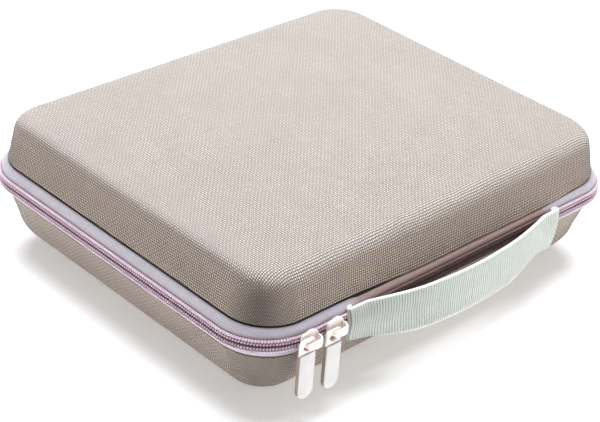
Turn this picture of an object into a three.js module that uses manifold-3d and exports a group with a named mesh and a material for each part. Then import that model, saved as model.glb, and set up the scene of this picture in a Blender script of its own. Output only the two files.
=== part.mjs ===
// Zipped hard-shell carrying case, closed: a moulded base and lid of fabric-faced foam, joined by a
// coil zip that runs round the front and both sides and by a cloth hinge along the back, with a
// webbing strap on the front. Millimetres, +Z up, +Y towards the hinge, origin under the middle.

import * as THREE from 'three';
import { mergeVertices } from 'three/addons/utils/BufferGeometryUtils.js';
import Module from 'manifold-3d';

const wasm = await Module();
wasm.setup();

// Driving dimensions. An offset is measured outwards from the outline of the case at its rims.
const outline = { halfX: 124, halfY: 104, corner: 24.3, cornerSteps: 8 };
const baseDepth = 34;          // floor to the base's rim
const bandHeight = 16.5;       // base rim to lid rim
const lidHeight = 24.5;        // lid rim to the top, crown included
const crown = 1.2;
const wall = 3.2;              // moulded shell
const gap = 0.3;               // between neighbours that touch in the real case
const baseDraft = 4.8;
const baseDraftDepth = 14;
const baseRound = { inset: 28, depth: 20 };
const lidDraft = 3.1;
const lidRound = { x: 6, y: 9, depth: 7.5 };
const lining = 0.8;
const coil = { inner: 2.4, outer: 5.2, halfWidth: 2.9 };
const tape = { thickness: 1, reach: 3.2 };
const hingeHalf = 84;          // half length of the cloth hinge
const zipEnd = 87;             // where the zip stops on the back, from the middle
const binding = { thickness: 0.9, height: 3.5 };
const webbing = { width: 25, thickness: 1.8, bottom: 24 };
const strap = { halfSpan: 75, moving: 62, standOff: 6.2, bow: 8 };
const sliderSize = { length: 10, width: 8.8, thickness: 1.3, clearance: 0.4 };
const bridge = { halfLength: 4.6, leg: 1.6, height: 4.4, width: 3.4 };
const pull = { width: 9.4, eye: 2.4, plate: 1.2, neck: 3.6, length: 28.3, thickness: 3 };
const rightSliderX = -84.5;
const leftSliderTurn = 1.2;    // degrees round the corner from the end of the front run

const lidRim = baseDepth + bandHeight;
const parting = baseDepth + bandHeight / 2;
const top = lidRim + lidHeight;

// Colours.
const shades = {
  shell: 0xb5a89b, lining: 0x4a474a, foam: 0x3a3a3d, tape: 0xc9c3d2, coil: 0xb08fa3, binding: 0x57525a,
  mesh: 0x3f3d42, webbing: 0xcdd5cc, metal: 0xe6ddd6, grip: 0xece6e0, hinge: 0xb9ada2,
};

const group = new THREE.Group();
const add = (name, geometry, color, roughness = 0.8, parent = group) => {
  const mesh = new THREE.Mesh(geometry, new THREE.MeshStandardMaterial({ color, roughness, metalness: 0 }));
  mesh.name = name;
  parent.add(mesh);
  return mesh;
};

// Booleans through manifold-3d.
function toSolid(geometry) {
  const plain = geometry.clone();
  for (const name of ['normal', 'uv']) plain.deleteAttribute(name);
  const merged = mergeVertices(plain, 1e-4);
  const triVerts = new Uint32Array(merged.index.array);
  const vertProperties = new Float32Array(merged.attributes.position.array);
  return new wasm.Manifold(new wasm.Mesh({ numProp: 3, vertProperties, triVerts }));
}
function toGeometry(solid) {
  const mesh = solid.getMesh();
  const geometry = new THREE.BufferGeometry();
  geometry.setAttribute('position', new THREE.BufferAttribute(new Float32Array(mesh.vertProperties), 3));
  geometry.setIndex(new THREE.BufferAttribute(new Uint32Array(mesh.triVerts), 1));
  return geometry;
}
const cut = (geometry, ...tools) => toGeometry(tools.reduce((s, t) => s.subtract(toSolid(t)), toSolid(geometry)));
const join = (geometry, ...others) => toGeometry(others.reduce((s, t) => s.add(toSolid(t)), toSolid(geometry)));

// A box between two corners.
function block([x0, y0, z0], [x1, y1, z1]) {
  const geometry = new THREE.BoxGeometry(x1 - x0, y1 - y0, z1 - z0);
  return geometry.translate((x0 + x1) / 2, (y0 + y1) / 2, (z0 + z1) / 2);
}

// One station on the outline: its quarter and which way is out.
function cornerStations(sx, sy, from) {
  const stations = [];
  for (let i = 0; i <= outline.cornerSteps; i++) {
    const angle = from + (Math.PI / 2) * (i / outline.cornerSteps);
    stations.push({ sx, sy, nx: Math.cos(angle), ny: Math.sin(angle) });
  }
  return stations;
}
const stations = [
  ...cornerStations(1, 1, 0), ...cornerStations(-1, 1, Math.PI / 2),
  ...cornerStations(-1, -1, Math.PI), ...cornerStations(1, -1, -Math.PI / 2),
];
// A corner stays concentric close to the outline, and tightens more slowly further in.
function cornerRadius(offset) {
  const near = Math.max(offset, -5);
  return Math.max(outline.corner + near + 0.5 * (offset - near), 3);
}
function point({ sx, sy, nx, ny }, offsetX, z, offsetY = offsetX) {
  const rx = cornerRadius(offsetX);
  const ry = cornerRadius(offsetY);
  const x = sx * (outline.halfX + offsetX - rx) + nx * rx;
  const y = sy * (outline.halfY + offsetY - ry) + ny * ry;
  return [x, y, z];
}
const ring = (offsetX, z, offsetY) => stations.map((s) => point(s, offsetX, z, offsetY));

// A closed body from a run of rings, with its first and last ring capped flat.
function loft(rings) {
  const count = rings[0].length;
  const positions = rings.flat(2);
  const index = [];
  for (let r = 0; r + 1 < rings.length; r++) {
    for (let i = 0; i < count; i++) {
      const a = r * count + i;
      const b = r * count + ((i + 1) % count);
      index.push(a, b, a + count, b, b + count, a + count);
    }
  }
  const middle = (r) => rings[r].reduce((m, p) => m.map((v, k) => v + p[k] / count), [0, 0, 0]);
  const last = rings.length - 1;
  positions.push(...middle(0), ...middle(last));
  const centre = rings.length * count;
  for (let i = 0; i < count; i++) {
    const next = (i + 1) % count;
    index.push(centre, next, i);
    index.push(centre + 1, last * count + i, last * count + next);
  }
  const geometry = new THREE.BufferGeometry();
  geometry.setAttribute('position', new THREE.Float32BufferAttribute(positions, 3));
  geometry.setIndex(index);
  return geometry;
}

// A profile of [offset, z] points, anticlockwise with the outside on its right, carried round the outline.
function sweep(profile, path, closed) {
  const count = profile.length;
  const positions = path.flatMap((s) => profile.flatMap(([offset, z]) => s.at(offset, z)));
  const index = [];
  const spans = closed ? path.length : path.length - 1;
  for (let s = 0; s < spans; s++) {
    const next = (s + 1) % path.length;
    for (let i = 0; i < count; i++) {
      const j = (i + 1) % count;
      index.push(s * count + i, next * count + i, s * count + j);
      index.push(s * count + j, next * count + i, next * count + j);
    }
  }
  if (!closed) {
    const end = (path.length - 1) * count;
    const flat = THREE.ShapeUtils.triangulateShape(profile.map(([o, z]) => new THREE.Vector2(o, z)), []);
    for (const [a, b, c] of flat) {
      index.push(a, b, c);
      index.push(end + a, end + c, end + b);
    }
  }
  const geometry = new THREE.BufferGeometry();
  geometry.setAttribute('position', new THREE.Float32BufferAttribute(positions, 3));
  geometry.setIndex(index);
  return geometry;
}
const onOutline = (s) => ({ at: (offset, z) => point(s, offset, z) });
const onBack = (x) => ({ at: (offset, z) => [x, outline.halfY + offset, z] });
const whole = stations.map(onOutline);
const perCorner = outline.cornerSteps + 1;
// From the back left, round the front, to the back right.
const zipPath = [
  onBack(-zipEnd), ...stations.slice(perCorner).map(onOutline),
  ...stations.slice(0, perCorner).map(onOutline), onBack(zipEnd),
];

// Half an ellipse's quarter as [inset, depth] steps.
function quarter(inset, depth, steps) {
  const out = [];
  for (let i = 1; i <= steps; i++) {
    const angle = (Math.PI / 2) * (i / steps);
    out.push([inset * (1 - Math.cos(angle)), depth * Math.sin(angle)]);
  }
  return out;
}

// Shells. skin 0 is the outer face, and a larger skin lies that much further in.
function baseRings(skin, rim) {
  const bend = baseDepth - baseDraftDepth;
  const rings = [[-skin - (baseDraft * (baseDepth - rim)) / baseDraftDepth, rim]];
  rings.push([-baseDraft - skin, bend]);
  for (const [inset, depth] of quarter(baseRound.inset - skin * 0.4, baseRound.depth - skin, 6)) {
    rings.push([-baseDraft - skin - inset, bend - depth]);
  }
  return rings.map(([offset, z]) => ring(offset, z));
}
function lidRings(skin, rim) {
  const bend = top - crown - lidRound.depth;
  const atRim = -skin - (lidDraft * (rim - lidRim)) / (bend - lidRim);
  const rings = [[atRim, rim, atRim]];
  rings.push([-lidDraft - skin, bend, -lidDraft - skin]);
  for (const [share, rise] of quarter(1, 1, 5)) {
    const inX = share * (lidRound.x - skin * 0.5);
    const inY = share * (lidRound.y - skin * 0.5);
    rings.push([-lidDraft - skin - inX, bend + rise * (lidRound.depth - skin), -lidDraft - skin - inY]);
  }
  const half = outline.halfX / 2;
  rings.push([-lidDraft - skin - half, top - crown * 0.25 - skin, -lidDraft - skin - half]);
  return rings.map(([offset, z, offsetY]) => ring(offset, z, offsetY));
}
const tray = (outer, inner) => loft([...outer.reverse(), ...inner]);
const cap = (outer, inner) => loft([...inner.reverse(), ...outer]);

add('base_shell', tray(baseRings(0, baseDepth), baseRings(wall, baseDepth)), shades.shell);
const liningOut = wall + gap;
add('base_lining',
  tray(baseRings(liningOut, baseDepth - 1), baseRings(liningOut + lining, baseDepth - 1)), shades.lining);
add('lid_shell', cap(lidRings(0, lidRim), lidRings(wall, lidRim)), shades.shell);
add('lid_lining',
  cap(lidRings(liningOut, lidRim + 1), lidRings(liningOut + lining, lidRim + 1)), shades.lining);

// Zip band. side is 1 on the lid and -1 on the base; heights are counted from the parting plane.
const facing = (profile, side) => (side > 0 ? profile : [...profile].reverse());
function band(side, steps) {
  return facing(steps.map(([offset, height]) => [offset, parting + side * height]), side);
}
const rimHeight = bandHeight / 2;
function tapeProfile(side) {
  return band(side, [
    [tape.reach, coil.halfWidth + gap], [tape.reach - 0.9, 5.6], [-0.6, rimHeight - gap],
    [-0.6 - tape.thickness, rimHeight - gap], [tape.reach - 1.9, 5.2],
    [tape.reach - tape.thickness, coil.halfWidth + gap],
  ]);
}
function coilProfile(side) {
  const round = 0.8;
  return band(side, [
    [coil.inner, gap / 2], [coil.outer - round / 2, gap / 2], [coil.outer, round],
    [coil.outer, coil.halfWidth - round], [coil.outer - round, coil.halfWidth], [coil.inner, coil.halfWidth],
  ]);
}
function hingeProfile(side) {
  return band(side, [
    [tape.reach, gap / 2], [tape.reach, 3.2], [tape.reach - 0.9, 5.6], [-0.6, rimHeight - gap],
    [-0.6 - tape.thickness, rimHeight - gap], [tape.reach - 1.9, 5.2],
    [tape.reach - tape.thickness, 3.1], [tape.reach - tape.thickness, gap / 2],
  ]);
}
// The binding follows the lining's slope.
function bindingProfile(side) {
  const slope = side > 0 ? lidDraft / (lidHeight - crown - lidRound.depth) : baseDraft / baseDraftDepth;
  const face = (height) => -liningOut - lining - gap - slope * Math.max(height - rimHeight, 0);
  const near = rimHeight - 1;
  const far = rimHeight + binding.height;
  return band(side, [
    [face(near), near], [face(rimHeight), rimHeight], [face(far), far],
    [face(far) - binding.thickness, far], [face(rimHeight) - binding.thickness, rimHeight],
    [face(near) - binding.thickness, near],
  ]);
}
for (const [half, side] of [['base', -1], ['lid', 1]]) {
  add(`${half}_zip_tape`, sweep(tapeProfile(side), zipPath, false), shades.tape);
  add(`${half}_zip_coil`, sweep(coilProfile(side), zipPath, false), shades.coil, 0.5);
  add(`${half}_hinge_cloth`, sweep(hingeProfile(side), [onBack(hingeHalf), onBack(-hingeHalf)], false), shades.hinge);
}

// Stops clamped over the last coils, on the base.
for (const [name, x] of [['left', -zipEnd], ['right', zipEnd]]) {
  const inward = -Math.sign(x);
  const from = x + inward * gap;
  const to = x + inward * 2.4;
  const y = outline.halfY;
  add(`zip_stop_${name}`, block(
    [Math.min(from, to), y + coil.inner, parting - coil.halfWidth],
    [Math.max(from, to), y + coil.outer + 0.2, parting - gap],
  ), shades.metal, 0.4);
}

// Foam insert in the base, with pockets for the device, its stand and its cable.
const insertTop = baseDepth + 2;
const insertRings = [[-7.4, insertTop], [-7.4, baseDepth - 1], [-11, 20], [-16, 12], [-26, 6.5], [-38, 5.2]];
const pocketFloor = 12;
const pockets = [
  [[-98, -26], [76, 80]], [[-98, -80], [8, -36]], [[18, -80], [98, -36]], [[84, -26], [100, 80]],
];
const pocketTools = pockets.map(([[x0, y0], [x1, y1]]) => block([x0, y0, pocketFloor], [x1, y1, insertTop + 5]));
const fingerNotch = new THREE.CylinderGeometry(14, 14, 20, 24).rotateX(Math.PI / 2).translate(-12, -31, insertTop);
const insertBody = loft(insertRings.map(([offset, z]) => ring(offset, z)).reverse());
add('foam_insert', cut(insertBody, ...pocketTools, fingerNotch), shades.foam, 0.95);

// Soft pad in the pocket for the device.
add('device_pad', block([-97, -25, pocketFloor + gap], [75, 79, pocketFloor + 3]), shades.lining, 0.95);

// Mesh pocket across the lid, with its elastic edge.
const meshFace = parting + 9;
const meshPocket = { halfX: 100, front: -62, back: 84, thickness: 1 };
add('mesh_pocket', block(
  [-meshPocket.halfX, meshPocket.front, meshFace],
  [meshPocket.halfX, meshPocket.back, meshFace + meshPocket.thickness],
), shades.mesh);
add('mesh_pocket_elastic', block(
  [-meshPocket.halfX, meshPocket.front - 10, meshFace - 0.4],
  [meshPocket.halfX, meshPocket.front - gap, meshFace + meshPocket.thickness + 0.4],
), shades.binding);

for (const [half, side] of [['base', -1], ['lid', 1]]) {
  add(`${half}_binding`, sweep(bindingProfile(side), whole, true), shades.binding);
}

// Handle: a webbing strap folded back at each end and sewn to the base below the coil.
const strapBack = -(outline.halfY + strap.standOff);
const strapFront = strapBack - webbing.thickness;
const strapTop = webbing.bottom + webbing.width;
const sewnTop = baseDepth - gap;
const sewnBack = -(outline.halfY + gap);
const sewnFront = sewnBack - webbing.thickness;
for (const [name, side] of [['left', -1], ['right', 1]]) {
  const span = (a, b) => [Math.min(side * a, side * b), Math.max(side * a, side * b)];
  const panel = ([x0, x1], [y0, y1], z1) => block([x0, y0, webbing.bottom], [x1, y1, z1]);
  const fold = span(strap.halfSpan - webbing.thickness, strap.halfSpan);
  add(`handle_end_${name}`, join(
    panel(span(strap.moving + gap, strap.halfSpan), [strapFront, strapBack], strapTop),
    panel(fold, [strapFront, sewnBack], sewnTop),
    panel(span(strap.moving + 1, strap.halfSpan), [sewnFront, sewnBack], sewnTop),
  ), shades.webbing);
}
function strapPath() {
  const steps = 16;
  const path = [];
  for (let i = 0; i <= steps; i++) {
    const share = -1 + (2 * i) / steps;
    const bow = strap.bow * (1 - share * share);
    path.push({ at: (offset, z) => [share * strap.moving, strapBack - bow - offset, z] });
  }
  return path;
}
add('handle_strap', sweep([
  [0, webbing.bottom], [webbing.thickness, webbing.bottom], [webbing.thickness, strapTop], [0, strapTop],
], strapPath(), false), shades.webbing);

// Sliders. In a slider's own frame x runs along the coil, y points inwards and z up from the parting plane.
const plateIn = coil.outer + sliderSize.clearance;
const plateOut = plateIn + sliderSize.thickness;
function plateShape(halfLength, halfWidth, round) {
  const shape = new THREE.Shape();
  shape.moveTo(-halfLength + round, -halfWidth);
  shape.lineTo(halfLength - round, -halfWidth);
  shape.absarc(halfLength - round, -halfWidth + round, round, -Math.PI / 2, 0, false);
  shape.lineTo(halfLength, halfWidth - round);
  shape.absarc(halfLength - round, halfWidth - round, round, 0, Math.PI / 2, false);
  shape.lineTo(-halfLength + round, halfWidth);
  shape.absarc(-halfLength + round, halfWidth - round, round, Math.PI / 2, Math.PI, false);
  shape.lineTo(-halfLength, -halfWidth + round);
  shape.absarc(-halfLength + round, -halfWidth + round, round, Math.PI, 1.5 * Math.PI, false);
  return shape;
}
// A shape in x and z, thick from one offset to another.
function slab(shape, from, to, curveSegments = 5) {
  const geometry = new THREE.ExtrudeGeometry(shape, { depth: to - from, bevelEnabled: false, curveSegments });
  return geometry.rotateX(Math.PI / 2).translate(0, -from, 0);
}
function sliderBody() {
  const halfWidth = sliderSize.width / 2;
  const plate = slab(plateShape(sliderSize.length / 2, halfWidth, 2.4), plateIn, plateOut);
  const flange = block([-3.4, -plateIn - 0.2, -halfWidth], [3.4, -3.7, -coil.halfWidth - gap]);
  return join(plate, flange);
}
function bridgeBody() {
  const { halfLength, leg, height, width } = bridge;
  const shape = new THREE.Shape();
  const foot = plateOut + gap;
  const shoulder = 1.8;
  shape.moveTo(-halfLength, foot);
  shape.lineTo(-halfLength + leg, foot);
  shape.lineTo(-halfLength + leg, foot + height - 1.4);
  shape.lineTo(halfLength - leg, foot + height - 1.4);
  shape.lineTo(halfLength - leg, foot);
  shape.lineTo(halfLength, foot);
  shape.lineTo(halfLength, foot + height - shoulder);
  shape.absarc(halfLength - shoulder, foot + height - shoulder, shoulder, 0, Math.PI / 2, false);
  shape.absarc(-halfLength + shoulder, foot + height - shoulder, shoulder, Math.PI / 2, Math.PI, false);
  const geometry = new THREE.ExtrudeGeometry(shape, { depth: width, bevelEnabled: false, curveSegments: 4 });
  return geometry.translate(0, 0, -width / 2).rotateZ(Math.PI).rotateY(Math.PI);
}
const legX = -bridge.halfLength + bridge.leg / 2;
const pullIn = plateOut + 1.2;
const pullOut = pullIn + pull.plate;
const gripIn = plateOut + 0.4;
const gripOut = gripIn + pull.thickness;
// The pull's own frame has its origin on the axis of the bridge's left leg.
function pullPlate() {
  const half = pull.width / 2;
  const shape = new THREE.Shape();
  shape.absarc(0, 0, half, 0, Math.PI, false);
  shape.lineTo(-half, -pull.neck - 1);
  shape.lineTo(half, -pull.neck - 1);
  const eye = new THREE.Path();
  eye.absarc(0, 0, pull.eye, 0, 2 * Math.PI, true);
  shape.holes.push(eye);
  return slab(shape, pullIn, pullOut, 10);
}
function pullGrip() {
  const half = pull.width / 2;
  const shape = new THREE.Shape();
  shape.moveTo(half, -pull.neck);
  shape.lineTo(-half, -pull.neck);
  shape.lineTo(-half, -pull.length + half);
  shape.absarc(0, -pull.length + half, half, Math.PI, 2 * Math.PI, false);
  const socket = block([-half - 1, -pullOut - gap, -pull.neck - 1 - gap], [half + 1, -pullIn + gap, -pull.neck + 1]);
  return cut(slab(shape, gripIn, gripOut, 8), socket);
}
function addSlider(name, frame) {
  add(`slider_${name}_body`, sliderBody(), shades.metal, 0.35, frame);
  const inner = block([-3.6, -1.8, -2.7], [3.6, -0.7, 2.7]);
  add(`slider_${name}_inner_plate`, inner, shades.metal, 0.35, frame);
  add(`slider_${name}_bridge`, bridgeBody(), shades.metal, 0.35, frame);
  const hung = new THREE.Group();
  hung.position.set(legX, 0, 0);
  frame.add(hung);
  add(`pull_${name}_plate`, pullPlate(), shades.metal, 0.35, hung);
  add(`pull_${name}_grip`, pullGrip(), shades.grip, 0.6, hung);
}
const rightFrame = new THREE.Group();
rightFrame.position.set(rightSliderX, -outline.halfY, parting);
group.add(rightFrame);
addSlider('right', rightFrame);

const cornerFrame = new THREE.Group();
cornerFrame.position.set(-outline.halfX + outline.corner, -outline.halfY + outline.corner, parting);
cornerFrame.rotation.z = -THREE.MathUtils.degToRad(leftSliderTurn);
group.add(cornerFrame);
const leftFrame = new THREE.Group();
leftFrame.position.set(0, -outline.corner, 0);
cornerFrame.add(leftFrame);
addSlider('left', leftFrame);

export default group;
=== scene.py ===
import math

import bmesh
import bpy
import numpy as np
from mathutils import Matrix, Vector


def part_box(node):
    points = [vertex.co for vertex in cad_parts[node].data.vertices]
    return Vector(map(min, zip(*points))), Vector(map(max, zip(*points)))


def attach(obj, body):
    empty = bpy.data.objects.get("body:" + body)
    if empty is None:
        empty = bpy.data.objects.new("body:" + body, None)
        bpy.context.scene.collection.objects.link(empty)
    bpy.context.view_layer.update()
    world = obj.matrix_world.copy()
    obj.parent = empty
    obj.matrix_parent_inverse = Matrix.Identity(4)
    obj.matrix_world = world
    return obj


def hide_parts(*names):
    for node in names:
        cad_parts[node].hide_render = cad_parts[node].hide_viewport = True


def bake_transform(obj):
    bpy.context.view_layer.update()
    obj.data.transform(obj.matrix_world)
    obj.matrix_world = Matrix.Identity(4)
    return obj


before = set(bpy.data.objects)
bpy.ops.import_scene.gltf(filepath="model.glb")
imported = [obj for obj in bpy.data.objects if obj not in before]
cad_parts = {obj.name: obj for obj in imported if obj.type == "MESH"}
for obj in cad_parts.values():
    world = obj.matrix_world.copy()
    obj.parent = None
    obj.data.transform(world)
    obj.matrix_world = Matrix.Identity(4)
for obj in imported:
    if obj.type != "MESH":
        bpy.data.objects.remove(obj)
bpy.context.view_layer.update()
mm = 0.001
print("frame loaded:", len(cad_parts), "nodes")

# Camera, in metres and degrees.
camera = {
    "place": (-0.55319, -0.54100, 0.49061), "azimuth": -45.63, "elevation": 31.30,
    "roll": 4.57, "lens": 102.80, "sensor": 36.0,
}


def placeCamera():
    azimuth, elevation, roll = (math.radians(camera[k]) for k in ("azimuth", "elevation", "roll"))
    right = Vector((math.cos(azimuth), math.sin(azimuth), 0))
    back = Vector((
        math.sin(azimuth) * math.cos(elevation),
        -math.cos(azimuth) * math.cos(elevation),
        math.sin(elevation),
    ))
    up = back.cross(right)
    across = math.cos(roll) * right + math.sin(roll) * up
    upright = -math.sin(roll) * right + math.cos(roll) * up
    data = bpy.data.cameras.new("studioCamera")
    data.lens, data.sensor_width = camera["lens"], camera["sensor"]
    data.clip_start, data.clip_end = 0.05, 20
    made = bpy.data.objects.new("studioCamera", data)
    bpy.context.scene.collection.objects.link(made)
    made.matrix_world = Matrix((
        (across.x, upright.x, back.x, camera["place"][0]),
        (across.y, upright.y, back.y, camera["place"][1]),
        (across.z, upright.z, back.z, camera["place"][2]),
        (0, 0, 0, 1),
    ))
    bpy.context.scene.camera = made


placeCamera()

# Shader helpers.


def newMaterial(name, roughness=0.8, **sockets):
    material = bpy.data.materials.new(name)
    material.use_nodes = True
    tree = material.node_tree
    shader = tree.nodes["Principled BSDF"]
    shader.inputs["Roughness"].default_value = roughness
    for socket, value in sockets.items():
        shader.inputs[socket.replace("_", " ")].default_value = value
    return material, tree, shader


def feed(tree, node, values):
    for i, value in enumerate(values):
        if isinstance(value, bpy.types.NodeSocket):
            tree.links.new(value, node.inputs[i])
        elif value is not None:
            node.inputs[i].default_value = value
    return node.outputs[0]


def calc(tree, operation, *values):
    node = tree.nodes.new("ShaderNodeMath")
    node.operation = operation
    return feed(tree, node, values)


def vectorCalc(tree, operation, *values):
    node = tree.nodes.new("ShaderNodeVectorMath")
    node.operation = operation
    return feed(tree, node, values)


def mixColour(tree, factor, first, second):
    node = tree.nodes.new("ShaderNodeMix")
    node.data_type = "RGBA"
    for socket, value in ((node.inputs[0], factor), (node.inputs[6], first), (node.inputs[7], second)):
        if isinstance(value, bpy.types.NodeSocket):
            tree.links.new(value, socket)
        else:
            socket.default_value = value
    return node.outputs[2]


def rgb(red, green, blue):
    # A display colour from 0 to 255 as linear light.
    parts = [c / 255 for c in (red, green, blue)]
    return (*[c / 12.92 if c <= 0.04045 else ((c + 0.055) / 1.055) ** 2.4 for c in parts], 1)


def remap(tree, value, low, high, toLow=0.0, toHigh=1.0):
    node = tree.nodes.new("ShaderNodeMapRange")
    return feed(tree, node, (value, low, high, toLow, toHigh))


def noise(tree, vector, scale, detail=2.0, roughness=0.5):
    node = tree.nodes.new("ShaderNodeTexNoise")
    tree.links.new(vector, node.inputs["Vector"])
    node.inputs["Scale"].default_value = scale
    node.inputs["Detail"].default_value = detail
    node.inputs["Roughness"].default_value = roughness
    return node.outputs["Fac"]


def uvOf(tree):
    node = tree.nodes.new("ShaderNodeUVMap")
    node.uv_map = "cut"
    return node.outputs[0]


def objectCoordinates(tree):
    return tree.nodes.new("ShaderNodeTexCoord").outputs["Object"]


def split(tree, vector):
    node = tree.nodes.new("ShaderNodeSeparateXYZ")
    tree.links.new(vector, node.inputs[0])
    return node.outputs[0], node.outputs[1], node.outputs[2]


def combine(tree, *values):
    return feed(tree, tree.nodes.new("ShaderNodeCombineXYZ"), values)


def attributeOf(tree, name):
    node = tree.nodes.new("ShaderNodeAttribute")
    node.attribute_name = name
    return node.outputs["Fac"]


def bump(tree, shader, height, distance):
    node = tree.nodes.new("ShaderNodeBump")
    node.inputs["Strength"].default_value = 1.0
    node.inputs["Distance"].default_value = distance
    tree.links.new(height, node.inputs["Height"])
    tree.links.new(node.outputs[0], shader.inputs["Normal"])


def wave(tree, value, pitch):
    return calc(tree, "SINE", calc(tree, "MULTIPLY", value, math.pi / pitch))


def ridges(tree, value, pitch):
    return calc(tree, "ABSOLUTE", wave(tree, value, pitch))


def shadeBy(tree, value):
    return combine(tree, value, value, value)


def plainWeave(tree, u, v, pitch):
    # Crossings of two threads: each cell swells, and neighbours take turns to lie on top.
    waveU, waveV = wave(tree, u, pitch), wave(tree, v, pitch)
    product = calc(tree, "MULTIPLY", waveU, waveV)
    swell = calc(tree, "POWER", calc(tree, "ABSOLUTE", product), 0.55)
    turn = calc(tree, "SIGN", product)
    return swell, turn


# Fabric over the moulded shells. The cut map is in millimetres on the cloth.
shellCloth = {
    "thread": rgb(238, 226, 216), "crossing": rgb(217, 205, 194), "gap": rgb(114, 102, 93),
    # The wall entries set painted shade on the walls.
    "wallShadeGap": rgb(34, 22, 15), "wallShadeTint": (0.97, 0.87, 0.79), "pitch": 1.2, "wander": 2.2, "bump": 0.0009,
    # The corner and bend strengths set painted shade.
    "roughness": 0.66, "cornerShadeStrength": 0.52, "bendShadeStrength": 0.24,
}


def shellFabric():
    material, tree, shader = newMaterial("shell fabric", shellCloth["roughness"], Sheen_Weight=0.12)
    shader.inputs["Specular IOR Level"].default_value = 0.45
    shader.inputs["Sheen Roughness"].default_value = 0.5
    place = uvOf(tree)
    u, v, _ = split(tree, place)
    wanderU = noise(tree, place, 0.05, 2.0)
    wanderV = noise(tree, place, 0.043, 2.0)
    shiftedU = calc(tree, "ADD", u, calc(tree, "MULTIPLY", wanderU, shellCloth["wander"]))
    shiftedV = calc(tree, "ADD", v, calc(tree, "MULTIPLY", wanderV, shellCloth["wander"]))
    swell, turn = plainWeave(tree, shiftedU, shiftedV, shellCloth["pitch"])
    streaks = []
    for scaleU, scaleV, layer in ((0.86, 0.05, 0.0), (0.05, 0.86, 4.0)):
        streakU, streakV = calc(tree, "MULTIPLY", shiftedU, scaleU), calc(tree, "MULTIPLY", shiftedV, scaleV)
        streaks.append(noise(tree, combine(tree, streakU, streakV, layer), 1.0, 1.0))
    threads = mixColour(tree, remap(tree, turn, -1.0, 1.0), shellCloth["crossing"], shellCloth["thread"])
    upright, drawn, edge = (attributeOf(tree, name) for name in ("upright", "drawn", "edge"))
    # Painted shade: darker weave gaps on the walls.
    gap = mixColour(tree, upright, shellCloth["gap"], shellCloth["wallShadeGap"])
    woven = mixColour(tree, remap(tree, swell, 0.2, 0.86), gap, threads)
    uneven = remap(tree, calc(tree, "ADD", *streaks), 0.6, 1.4, 0.9, 1.06)
    mottled = remap(tree, noise(tree, place, 0.02, 3.0), 0.3, 0.7, 0.965, 1.02)
    shade = calc(tree, "MULTIPLY", uneven, mottled)
    # Painted shade at the upright corners and just under the bend of the short walls.
    for amount, dark in ((drawn, "cornerShadeStrength"), (edge, "bendShadeStrength")):
        shade = calc(tree, "MULTIPLY", shade, remap(tree, amount, 0.0, 1.0, 1.0, 1 - shellCloth[dark]))
    # Painted shade: a warmer, darker tint on the walls than on the top.
    paintedWallShade = mixColour(tree, upright, (1, 1, 1, 1), (*shellCloth["wallShadeTint"], 1))
    colour = vectorCalc(tree, "MULTIPLY", vectorCalc(tree, "MULTIPLY", woven, paintedWallShade), shadeBy(tree, shade))
    tree.links.new(colour, shader.inputs["Base Color"])
    height = calc(tree, "ADD", swell, calc(tree, "MULTIPLY", noise(tree, place, 3.0, 1.0), 0.25))
    bump(tree, shader, height, shellCloth["bump"])
    return material


zipCloth = {
    # The seam colour and widths set painted shade under the lid's rim.
    "thread": rgb(194, 187, 194), "valley": rgb(112, 102, 116), "seam": rgb(40, 30, 31),
    # Painted shadow behind the handle.
    "patch": rgb(172, 146, 140), "handleShadowValley": rgb(84, 64, 62),
    "pitch": 0.95, "ribPitch": 0.8, "seamShadeWidth": 1.4, "seamShadeFade": 1.4, "bump": 0.0001,
}


def tapeFabric():
    material, tree, shader = newMaterial("zip tape", 0.7, Sheen_Weight=0.25)
    shader.inputs["Specular IOR Level"].default_value = 0.3
    place = uvOf(tree)
    u, v, _ = split(tree, place)
    diagonal = calc(tree, "ADD", u, calc(tree, "MULTIPLY", v, 0.8))
    twill = ridges(tree, diagonal, zipCloth["pitch"])
    rib = ridges(tree, v, zipCloth["ribPitch"])
    height = calc(tree, "MULTIPLY", calc(tree, "POWER", twill, 0.5), remap(tree, rib, 0.0, 1.0, 0.7, 1.0))
    # Painted shadow of the handle on the tape.
    inHandleShadow = attributeOf(tree, "patch")
    thread = mixColour(tree, inHandleShadow, zipCloth["thread"], zipCloth["patch"])
    valley = mixColour(tree, inHandleShadow, zipCloth["valley"], zipCloth["handleShadowValley"])
    cloth = mixColour(tree, remap(tree, height, 0.1, 0.7), valley, thread)
    mottled = remap(tree, noise(tree, place, 0.25, 3.0), 0.3, 0.7, 0.93, 1.04)
    # Painted shade fading out below the lid's rim.
    seam = zipCloth["seamShadeWidth"]
    mottled = calc(tree, "MULTIPLY", mottled, remap(tree, v, seam, seam + zipCloth["seamShadeFade"], 0.72, 1.0))
    cloth = vectorCalc(tree, "MULTIPLY", cloth, shadeBy(tree, mottled))
    # Painted shade: a dark line along the edge under the lid's rim, 1.5 mm wider where the lid bellies out behind
    # the handle.
    depth = calc(tree, "SUBTRACT", v, calc(tree, "MULTIPLY", inHandleShadow, 1.5))
    colour = mixColour(tree, remap(tree, depth, seam * 0.85, seam), zipCloth["seam"], cloth)
    tree.links.new(colour, shader.inputs["Base Color"])
    bump(tree, shader, height, zipCloth["bump"])
    return material


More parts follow.
